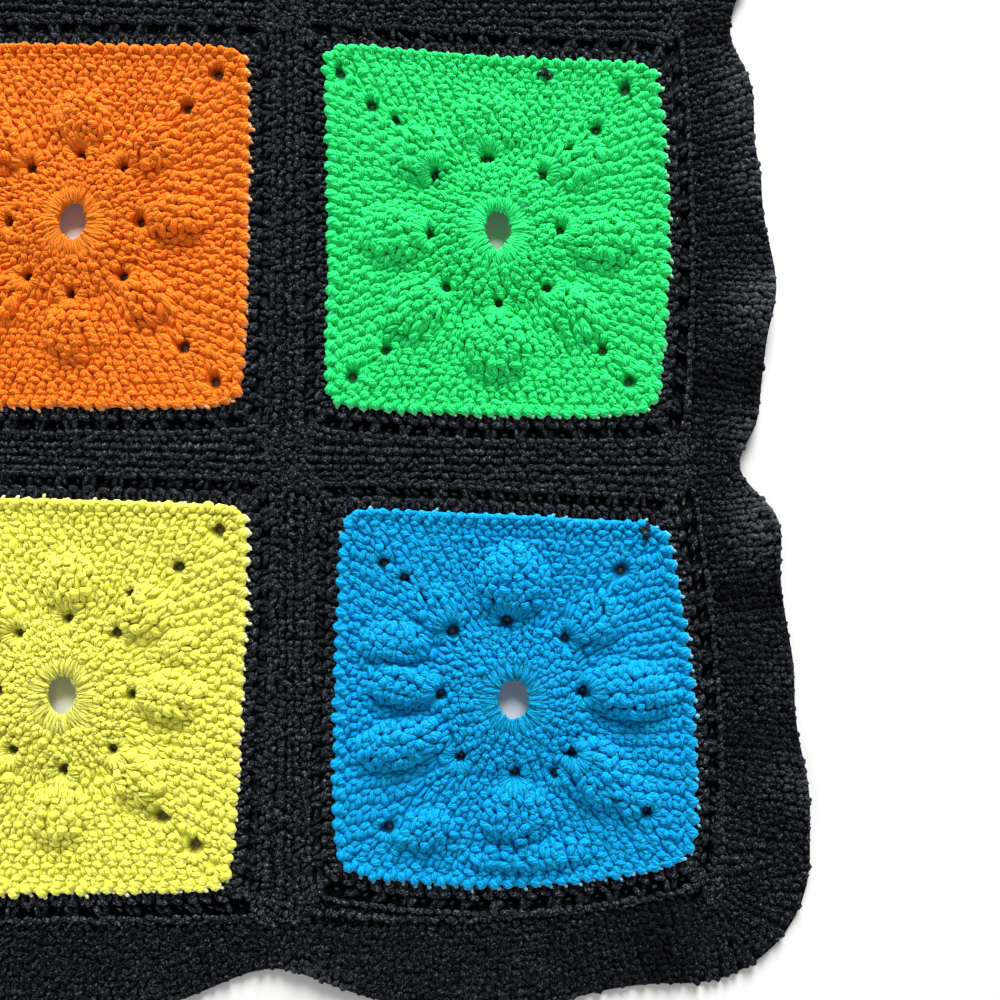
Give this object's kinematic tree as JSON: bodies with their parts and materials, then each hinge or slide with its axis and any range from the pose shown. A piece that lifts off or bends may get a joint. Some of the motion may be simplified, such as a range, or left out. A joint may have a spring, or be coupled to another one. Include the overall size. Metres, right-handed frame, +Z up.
{
  "type": "granny square blanket",
  "caption": "Flat crocheted lap blanket of bright popcorn squares in black mesh surrounds, with a wavy ribbed black border.",
  "frame": {"origin": "middle of the blanket's box, at its underside", "axes": "+X along the short side, +Y along the long side, +Z up out of the face"},
  "size_m": [0.714, 0.7518, 0.0127],
  "materials": {
    "yarn_orange": "matte worsted acrylic, bright orange",
    "yarn_green": "matte worsted acrylic, bright green",
    "yarn_yellow": "matte worsted acrylic, bright yellow",
    "yarn_blue": "matte worsted acrylic, bright blue",
    "yarn_black": "matte worsted acrylic, black"
  },
  "bodies": {
    "root": {"centre_r1c1": "yarn_blue", "surround_r1c1": "yarn_black", "centre_r1c2": "yarn_yellow", "surround_r1c2": "yarn_black", "centre_r1c3": "yarn_blue", "surround_r1c3": "yarn_black", "centre_r2c1": "yarn_green", "surround_r2c1": "yarn_black", "centre_r2c2": "yarn_orange", "surround_r2c2": "yarn_black", "centre_r2c3": "yarn_green", "surround_r2c3": "yarn_black", "centre_r3c1": "yarn_blue", "surround_r3c1": "yarn_black", "centre_r3c2": "yarn_yellow", "surround_r3c2": "yarn_black", "centre_r3c3": "yarn_blue", "surround_r3c3": "yarn_black", "border_right": "yarn_black", "border_bottom": "yarn_black", "border_left": "yarn_black", "border_top": "yarn_black"}
  },
  "joints": []
}
